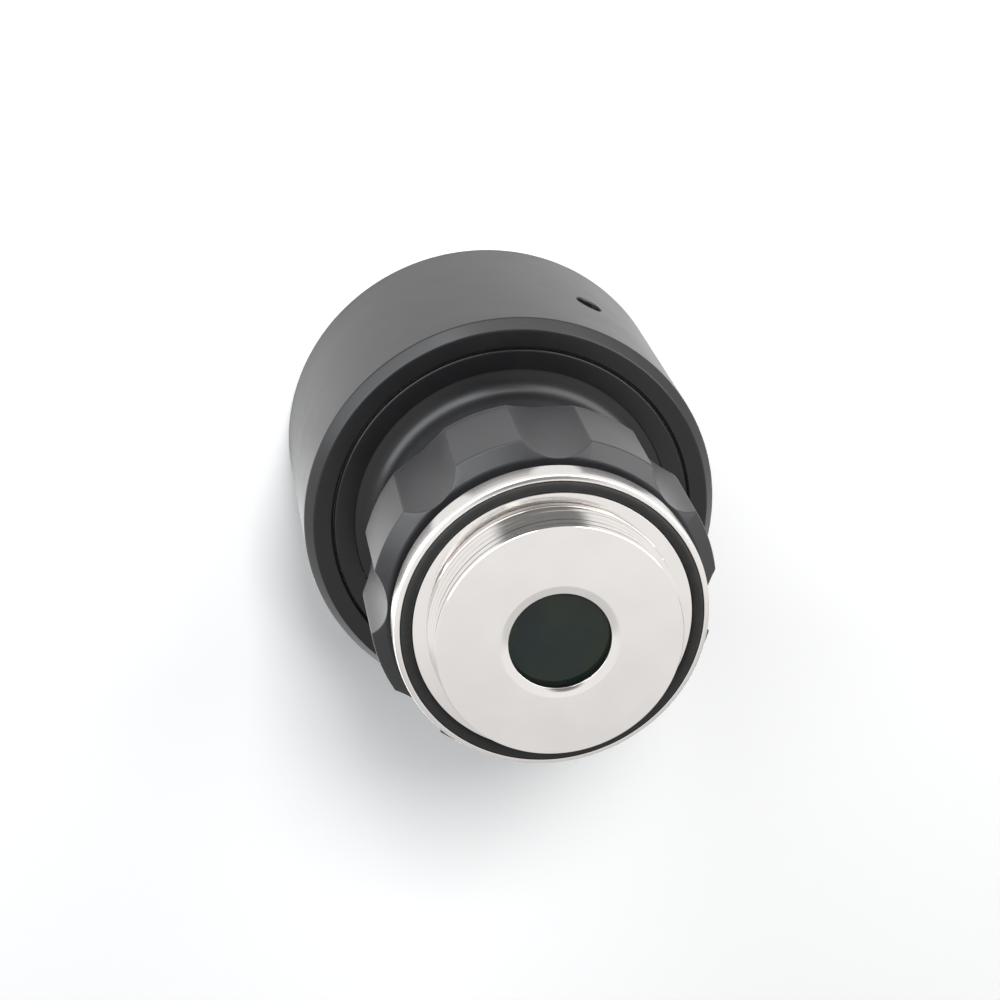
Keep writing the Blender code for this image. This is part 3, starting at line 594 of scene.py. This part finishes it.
def lying(angle, radius, height):
    return standing(angle, radius, height) @ Matrix.Rotation(math.pi / 2, 4, "Y")


# A rectangle swept part of the way round, for a slot or a helical groove
def sweptSlot(low, high, bottom, top, middle, turn, rise=0.0, steps=64):
    angles = [middle + turn * (step / steps - 0.5) for step in range(steps + 1)]
    columns = []
    for step in range(steps + 1):
        lift = rise * (step / steps - 0.5)
        upper, lower = top + lift, bottom + lift
        columns.append(points((low, upper), (high, upper), (high, lower), (low, lower)))
    return linked("slot", skinned("slot", angles, columns, True, whole=False))


# One mesh of each turned piece. The edge break is in mm, moved takes a radius to another and so closes
# a working gap as far as the real fit does, and fine is where the edges stay crisp
turnedPieces = dict(
    clamp_sleeve=dict(steps=256, edge=0.16, moved={19.7: 19.58, 19.95: 19.76}),
    main_body=dict(steps=256, edge=0.1, moved={17.0: 17.28}, fine=(17.1, 17.4, 0.02)),
    rear_hub=dict(steps=256, edge=0.13, moved={19.4: 19.555, 19.15: 19.4}, fine=(17.1, 17.4, 0.02)),
    rear_retaining_ring=dict(steps=192, edge=0.1, angle=0.0),
    thrust_washer=dict(steps=144, edge=0.05),
    front_window=dict(steps=128, edge=0.12),
    window_gasket=dict(steps=96, edge=0.08),
    window_retainer=dict(steps=96, edge=0.08),
    lens_cell=dict(steps=144, edge=0.15),
    lens_spacer=dict(steps=96, edge=0.08),
    lens_retainer=dict(steps=96, edge=0.08),
    rear_flint_lens=dict(steps=96, edge=0.1),
    rear_crown_lens=dict(steps=96, edge=0.1),
    front_crown_lens=dict(steps=96, edge=0.1),
    front_flint_lens=dict(steps=96, edge=0.1),
    rear_window=dict(steps=128, edge=0.12),
    rear_window_seal=dict(steps=96, edge=0.08),
    rear_window_retainer=dict(steps=128, edge=0.1),
)


def turnedPiece(node, near=0.01):  # mm within which a radius counts as the one to be moved
    size = turnedPieces[node]
    outline, closed = sectionOf(node, size.get("angle", 45.0))
    for point in outline:
        for old, new in size.get("moved", {}).items():
            if abs(point.x - old * mm) < near * mm:
                point.x = new * mm
                break
    smooth = eased(outline, closed, size["edge"], fine=size.get("fine"))
    return linked(node, spun(node, smooth, closed, size["steps"]))


stopHole = dict(
    angle=246.0, height=14.4, radius=1.55, flare=0.18, sleeveRadius=22.7, depth=4.0, stepOut=0.02, past=2.0,
)


def clampSleeve():
    size = stopHole
    radius = size["radius"]
    wide = radius + size["flare"]
    outline = [(0, -size["depth"]), (radius, -size["depth"]), (radius, -size["flare"])]
    outline += [(wide, size["stepOut"]), (wide, size["past"]), (0, size["past"])]
    drill = rod(outline, lying(size["angle"], size["sleeveRadius"], size["height"]), steps=96)
    dress(machine(turnedPiece("clamp_sleeve"), [drill]), "clamp_sleeve")


grubScrew = dict(
    head=22.0, thread=1.25, tipRadius=0.9, tip=18.7, tipEnd=19.85, socket=0.7, socketDepth=1.1,
    socketPast=1.0, headChamfer=0.12, tipChamfer=0.1,
)


def stopScrew():
    size = grubScrew
    head, radius, tipRadius = size["head"], size["thread"], size["tipRadius"]
    chamfer = size["headChamfer"]
    outline = [(0, head), (radius - chamfer, head), (radius, head - chamfer)]
    outline += [(radius, size["tipEnd"] + radius - tipRadius), (tipRadius, size["tipEnd"])]
    chamfer = size["tipChamfer"]
    outline += [(tipRadius, size["tip"] + chamfer), (tipRadius - chamfer, size["tip"]), (0, size["tip"])]
    screw = rod(outline, lying(stopHole["angle"], 0, stopHole["height"]), steps=48)
    socket, low, high = size["socket"], -size["socketDepth"], size["socketPast"]
    outline = [(0, low), (socket, low), (socket, high), (0, high)]
    key = rod(outline, lying(stopHole["angle"], head, stopHole["height"]), steps=6)
    dress(machine(screw, [key]), "stop_screw")


# Pins of the lens cell, the straight slots that they pass and the helical grooves that drive them
pinDrive = dict(
    angles=(30.0, 150.0, 270.0), height=40.9, radius=1.2, tip=15.0, length=5.1, gap=0.3, chamfer=0.1,
    travel=1.5, turn=50.0, slotMiddle=13.05, slotReach=1.6, holeGap=0.15, holeDepth=0.3, holeTop=12.2,
)


def pinSlots(steps=16):
    cutters = []
    half = pinDrive["radius"] + pinDrive["gap"]
    for angle in pinDrive["angles"]:
        matrix = lying(angle, pinDrive["slotMiddle"], pinDrive["height"])
        ends = []
        for side in (-1, 1):
            for step in range(steps + 1):
                turn = math.pi * (step / steps - 0.5)
                along = side * (pinDrive["travel"] + half * math.cos(turn))
                ends.append((along * mm, side * half * math.sin(turn) * mm))
        depths = (-pinDrive["slotReach"] * mm, pinDrive["slotReach"] * mm)
        mesh = stacked("pin_slot", [[matrix @ Vector((x, y, depth)) for x, y in ends] for depth in depths])
        cutters.append(linked("pin_slot", mesh))
    return cutters


def focusPins():
    size = pinDrive
    tip, radius, chamfer = size["tip"], size["radius"], size["chamfer"]
    root = tip - size["length"]
    outline = [(0, tip), (radius - chamfer, tip), (radius, tip - chamfer)]
    outline += [(radius, root + chamfer), (radius - chamfer, root), (0, root)]
    for number, angle in enumerate(size["angles"]):
        dress(rod(outline, lying(angle, 0, size["height"]), steps=40), "focus_pin_" + str(number + 1))


def lensCell():
    size = pinDrive
    floorRadius = size["tip"] - size["length"] - size["holeDepth"]
    hole = size["radius"] + size["holeGap"]
    outline = [(0, floorRadius), (hole, floorRadius), (hole, size["holeTop"]), (0, size["holeTop"])]
    drills = [rod(outline, lying(angle, 0, size["height"]), steps=40) for angle in size["angles"]]
    dress(machine(turnedPiece("lens_cell"), drills), "lens_cell")


jawSizes = dict(
    angles=(90.0, 210.0, 330.0), bottom=1.9, top=5.2, width=12.0, grip=14.383, flare=1.2, back=17.191,
    followerRadius=1.5, followerInset=0.3, followerChamfer=0.1, tip=18.391, edge=0.14, edgeArc=0.3,
)
hubCuts = dict(
    channelInner=14.383, channelOuter=21.25, channelWidth=12.6, channelBottom=1.4, channelTop=5.5,
    slotInner=18.4, slotOuter=19.9, slotHalfHeight=1.2, slotTurn=39.43, slotMiddle=263.5,
    legRadius=0.7, legHeight=17.3, legInner=15.1, legOuter=18.1,
)


def rearHub():
    size = hubCuts
    inner, outer = size["channelInner"], size["channelOuter"]
    bottom, top = size["channelBottom"], size["channelTop"]
    cutters = []
    for angle in jawSizes["angles"]:
        centre = standing(angle, (inner + outer) / 2, (bottom + top) / 2)
        cutters.append(block((outer - inner, size["channelWidth"], top - bottom), centre))
    low = stopHole["height"] - size["slotHalfHeight"]
    high = stopHole["height"] + size["slotHalfHeight"]
    middle, turn = size["slotMiddle"], size["slotTurn"]
    cutters.append(sweptSlot(size["slotInner"], size["slotOuter"], low, high, middle, turn))
    radius, near, far = size["legRadius"], size["legInner"], size["legOuter"]
    leg = [(0, near), (radius, near), (radius, far), (0, far)]
    cutters.append(rod(leg, lying(0, 0, size["legHeight"]), steps=32))
    dress(machine(turnedPiece("rear_hub"), cutters), "rear_hub")


# Camera thread: a true helix from the relief at its base to its last, fading turn
thread = dict(
    crest=12.65, endCrest=12.27, pitch=0.794, relief=12.6, reliefSlope=2.0, bottom=53.7, end=57.4,
    chamfer=0.05, fade=0.12,
    profile=((0.0, 0.0), (0.125, 0.0), (0.4375, 0.43), (0.6875, 0.43)),  # share of the pitch, and depth
    shoulder=53.2, edge=0.14, bezelRadius=5.74, bezelDepth=0.235, apertureRadius=5.12, steps=256,
    rimRadius=15.8, rimHeight=52.9, rimRound=0.36, closeRow=0.03,  # mm, in which a row joins an end
    oldBezel=(6.1, 56.6),  # the radius inside and the height above which the plain bezel is left out
    oldThread=(0.4, 0.1),  # how near its crest, and how far under the shoulder, the plain thread is
    crisp=(0.0, 12.8, 0.04),  # the radii between which the edges stay crisp, and their break
)


def threadColumn(share):
    size = thread
    top = size["end"] - size["chamfer"]
    turns = math.ceil((top - size["bottom"]) / size["pitch"]) + 1
    taper = (size["crest"] - size["endCrest"]) / (top - size["bottom"])
    column = []
    for turn in range(turns + 1):
        for along, depth in size["profile"]:
            height = size["bottom"] + (turn - 1 + share + along) * size["pitch"]
            fading = min(max((top - height) / size["fade"], 0.0), 1.0)
            radius = size["crest"] - taper * (height - size["bottom"]) - depth * fading
            radius = min(radius, size["relief"] + (height - size["bottom"]) * size["reliefSlope"])
            if height < size["bottom"] + size["closeRow"]:
                radius, height = size["relief"], size["bottom"]
            if height > top - size["closeRow"]:
                radius, height = size["endCrest"], top
            column.append((radius, height))
    return column


def cameraAdapter():
    size = thread
    outline = sectionOf("c_mount_adapter")[0]
    crest = size["crest"] * mm
    near, under = size["oldThread"]
    low = (size["shoulder"] - under) * mm
    isThread = [abs(point.x - crest) < near * mm and point.y > low for point in outline]
    start = next(index for index in range(len(outline)) if isThread[index - 1] and not isThread[index])
    rest = [outline[(start + step) % len(outline)] for step in range(len(outline) - sum(isThread))]
    if rest[0].y < rest[-1].y:
        rest.reverse()
    within, above = (value * mm for value in size["oldBezel"])
    rest = [point for point in rest if not (point.y > above and point.x < within)]
    face = points((size["endCrest"] - size["chamfer"], size["end"]), (size["bezelRadius"], size["end"]))
    aperture = points((size["apertureRadius"], size["end"] - size["bezelDepth"]))
    base = points((size["relief"], size["shoulder"]), (size["relief"], size["bottom"]))
    chain = [*face, *aperture, *rest, *base]
    broad = (size["rimRadius"], size["rimHeight"], size["rimRound"])
    smooth = eased(chain, False, size["edge"], steps=6, fine=size["crisp"], broad=broad)
    angles = evenAngles(size["steps"])
    columns = [smooth + points(*threadColumn(angle / 360)) for angle in angles]
    mesh = skinned("c_mount_adapter", angles, columns, True)
    dress(linked("adapter", mesh), "c_mount_adapter", "adapter_steel")


# Fluted ring: columns stand on the flute edges, and each column finds where its cones begin
ringSizes = dict(
    radius=17.75, lip=16.2, front=49.4, rear=35.0, frontCone=48.0, rearCone=37.5, rearLand=35.2, bore=14.4,
    fluteFloor=16.1, fluteCount=8, edge=0.16, grooveFloor=15.3, grooveHalfHeight=1.5, grooveStart=13.9,
    lipBand=0.5, fluteSteps=18, landSteps=9, leastCone=0.05,
    bevel=(0.42, 0.14),  # degrees to each side of a flute's edge
)


def fluteRadius(offset):
    size = ringSizes
    half = 180 / size["fluteCount"] / 2
    if abs(offset) >= half:
        return size["radius"]
    chord = size["radius"] * math.sin(half * deg)
    depth = size["radius"] * math.cos(half * deg) - size["fluteFloor"]
    circle = (chord**2 + depth**2) / (2 * depth)
    centre = size["fluteFloor"] + circle
    return centre * math.cos(offset * deg) - math.sqrt(circle**2 - (centre * math.sin(offset * deg)) ** 2)


def ringAngles():
    size = ringSizes
    pitch = 360 / size["fluteCount"]
    half = pitch / 4
    wide, narrow = size["bevel"]
    fluteHalf, landSteps = size["fluteSteps"] / 2, size["landSteps"]
    offsets = [-half - wide, -half - narrow, -half + narrow]
    offsets += [(half - wide) * (step / fluteHalf - 1) for step in range(size["fluteSteps"] + 1)]
    offsets += [half - narrow, half + narrow, half + wide]
    land = pitch - 2 * (half + wide)
    offsets += [half + wide + land * step / landSteps for step in range(1, landSteps)]
    spread = [(flute * pitch + offset, offset) for flute in range(size["fluteCount"]) for offset in offsets]
    return spread + [(spread[0][0] + 360, spread[0][1])]


def focusRing():
    size = ringSizes
    section = sectionOf("focus_ring", 180 / size["fluteCount"])[0]
    # From the widest point, the upper one of two
    first = max(range(len(section)), key=lambda index: section[index].x + section[index].y * 0.001)
    ordered = [section[(first + step) % len(section)] for step in range(len(section))]
    inner = [point for point in ordered if point.x < size["lip"] * mm - size["lipBand"] * mm]
    if inner[0].y > inner[-1].y:
        inner.reverse()
    front, rear, least = size["front"], size["rearLand"], size["leastCone"]
    angles = []
    columns = []
    for angle, offset in ringAngles():
        reach = fluteRadius(offset)
        lip = min(size["lip"], reach - least)
        share = min((size["radius"] - reach) / (size["radius"] - size["lip"]), 1.0)
        high = min(size["frontCone"] + share * (front - size["frontCone"]), front - least)
        low = max(size["rearCone"] - share * (size["rearCone"] - rear), rear + least)
        outer = points((lip, front), (reach, high), (reach, low), (lip, rear), (lip, size["rear"]))
        angles.append(angle)
        columns.append(eased(outer + inner, True, size["edge"]))
    ring = linked("ring", skinned("focus_ring", angles, columns, True))
    reach = (pinDrive["radius"] + 2 * pinDrive["gap"]) / size["bore"] / deg
    turn = 2 * (pinDrive["turn"] + reach)
    rise = -turn * pinDrive["travel"] / pinDrive["turn"]
    low = pinDrive["height"] - size["grooveHalfHeight"]
    high = pinDrive["height"] + size["grooveHalfHeight"]
    grooves = []
    for angle in pinDrive["angles"]:
        grooves.append(sweptSlot(size["grooveStart"], size["grooveFloor"], low, high, angle, turn, rise))
    dress(machine(ring, grooves), "focus_ring", "ring_anodised")


# Width and section are half the seal's size out from and along the axis
seals = dict(
    flange_o_ring=dict(radius=14.65, height=52.95, section=0.45, width=0.59, steps=256, sides=32),
    front_focus_seal=dict(radius=14.67, height=47.33, section=0.42, width=0.42, steps=128, sides=16),
    rear_focus_seal=dict(radius=14.67, height=36.5, section=0.42, width=0.42, steps=128, sides=16),
    sleeve_seal=dict(radius=18.95, height=23.6, section=0.6, width=0.6, steps=144, sides=16),
)


def roundSeals(fullness=0.85):  # below 1 the section is squarer than an ellipse
    for node, size in seals.items():
        outline = []
        for side in range(size["sides"]):
            turn = 2 * math.pi * side / size["sides"]
            outward = size["width"] * math.copysign(abs(math.cos(turn)) ** fullness, math.cos(turn))
            outline.append((size["radius"] + outward, size["height"] + size["section"] * math.sin(turn)))
        dress(linked(node, spun(node, points(*outline), True, size["steps"])), node)


# A spanner slot across each retainer, on the side that a tool reaches
spannerSlots = dict(
    width=0.9, depth=0.4,
    lengths=dict(window_retainer=14.0, lens_retainer=16.0, rear_window_retainer=18.0),
    onTop=("lens_retainer",),
)


def retainers():
    size = spannerSlots
    for node, length in size["lengths"].items():
        low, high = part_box(node)
        level = high.z if node in size["onTop"] else low.z
        bar = block((length, size["width"], 2 * size["depth"]), Matrix.Translation((0, 0, level)))
        dress(machine(turnedPiece(node), [bar]), node)


spannerHoles = dict(count=4, first=45.0, radius=0.6, top=1.1, circle=18.99)


def sleeveRing():
    size = spannerHoles
    outline = [(0, size["top"]), (size["radius"], size["top"]), (size["radius"], 0), (0, 0)]
    drills = []
    for index in range(size["count"]):
        angle = size["first"] + 360 / size["count"] * index
        drills.append(rod(outline, standing(angle, size["circle"], 0), steps=40))
    dress(machine(turnedPiece("rear_retaining_ring"), drills), "rear_retaining_ring")


# Radii and travel in mm, turns in degrees
camSizes = dict(
    outer=21.4, high=20.8, rest=18.691, low=18.383, turn=35.0, lobe=120.0, leadIn=6.0, dwell=19.0, travel=1.8,
    edge=0.12, steps=240,
)


# Even spiral, a dwell, and a smooth return to the next lobe
def camRadius(angle):
    size = camSizes
    lobe = size["lobe"]
    local = (jawSizes["angles"][0] - angle + size["leadIn"]) % lobe - size["leadIn"]
    rampEnd = size["turn"] + size["leadIn"]
    if local <= rampEnd:
        return size["rest"] + size["travel"] * local / size["turn"]
    if local <= rampEnd + size["dwell"]:
        return size["high"]
    share = (local - rampEnd - size["dwell"]) / (lobe - size["leadIn"] - rampEnd - size["dwell"])
    return size["high"] + (size["low"] - size["high"]) * (1 - math.cos(math.pi * share)) / 2


def camRing():
    size = camSizes
    bottom, top = jawSizes["bottom"], jawSizes["top"]
    angles = evenAngles(size["steps"])
    columns = []
    for angle in angles:
        inner = camRadius(angle)
        outline = points((inner, top), (size["outer"], top), (size["outer"], bottom), (inner, bottom))
        columns.append(eased(outline, True, size["edge"]))
    dress(linked("cam", skinned("cam_ring", angles, columns, True)), "cam_ring")


# Jaw: stacked outlines, drawn in at the top and bottom edges, with its follower welded on
def jaw(number, angle, steps=32):
    size = jawSizes
    height = size["top"] - size["bottom"]
    edge = size["edge"]
    arc = edge * size["edgeArc"]
    lower = [(0, edge), (arc, arc), (edge, 0)]
    upper = [(height - edge, 0), (height - arc, arc), (height, edge)]
    rings = []
    for lift, inset in lower + upper:
        grip = size["grip"] + size["flare"] * lift / height + inset
        back = size["back"] - inset
        half = size["width"] / 2 - inset
        ring = []
        for radius, forward in ((back, 1), (grip, -1)):
            reach = math.asin(half / radius)
            for step in range(steps + 1):
                turn = forward * reach * (2 * step / steps - 1)
                point = (radius * math.cos(turn), radius * math.sin(turn), size["bottom"] + lift)
                ring.append([value * mm for value in point])
        rings.append(ring)
    mesh = stacked("jaw", rings)
    mesh.transform(Matrix.Rotation(angle * deg, 4, "Z"))
    radius, chamfer = size["followerRadius"], size["followerChamfer"]
    low = size["bottom"] + size["followerInset"]
    high = size["top"] - size["followerInset"]
    outline = [(0, low), (radius - chamfer, low), (radius, low + chamfer)]
    outline += [(radius, high - chamfer), (radius - chamfer, high), (0, high)]
    follower = rod(outline, standing(angle, size["tip"] - radius, 0))
    dress(machine(linked("jaw", mesh), [follower], "UNION"), "jaw_" + str(number))


clampSleeve()
stopScrew()
print("clamp sleeve")
dress(machine(turnedPiece("main_body"), pinSlots()), "main_body")
rearHub()
print("body and hub")
cameraAdapter()
roundSeals()
print("camera adapter and seals")
focusRing()
focusPins()
print("focus ring and its pins")
lensCell()
retainers()
machined = ["clamp_sleeve", "main_body", "rear_hub", "lens_cell", "rear_retaining_ring"]
for node in turnedPieces:
    if node not in machined and node not in spannerSlots["lengths"]:
        dress(turnedPiece(node), node)
print("lens cell, glass and retainers")
sleeveRing()
camRing()
for number, angle in enumerate(jawSizes["angles"]):
    jaw(number + 1, angle)
spring = frame["nodes"]["sleeve_return_spring"]
spring.material_slots[0].material = looks["spring_steel"]
print("cam, jaws and spring")
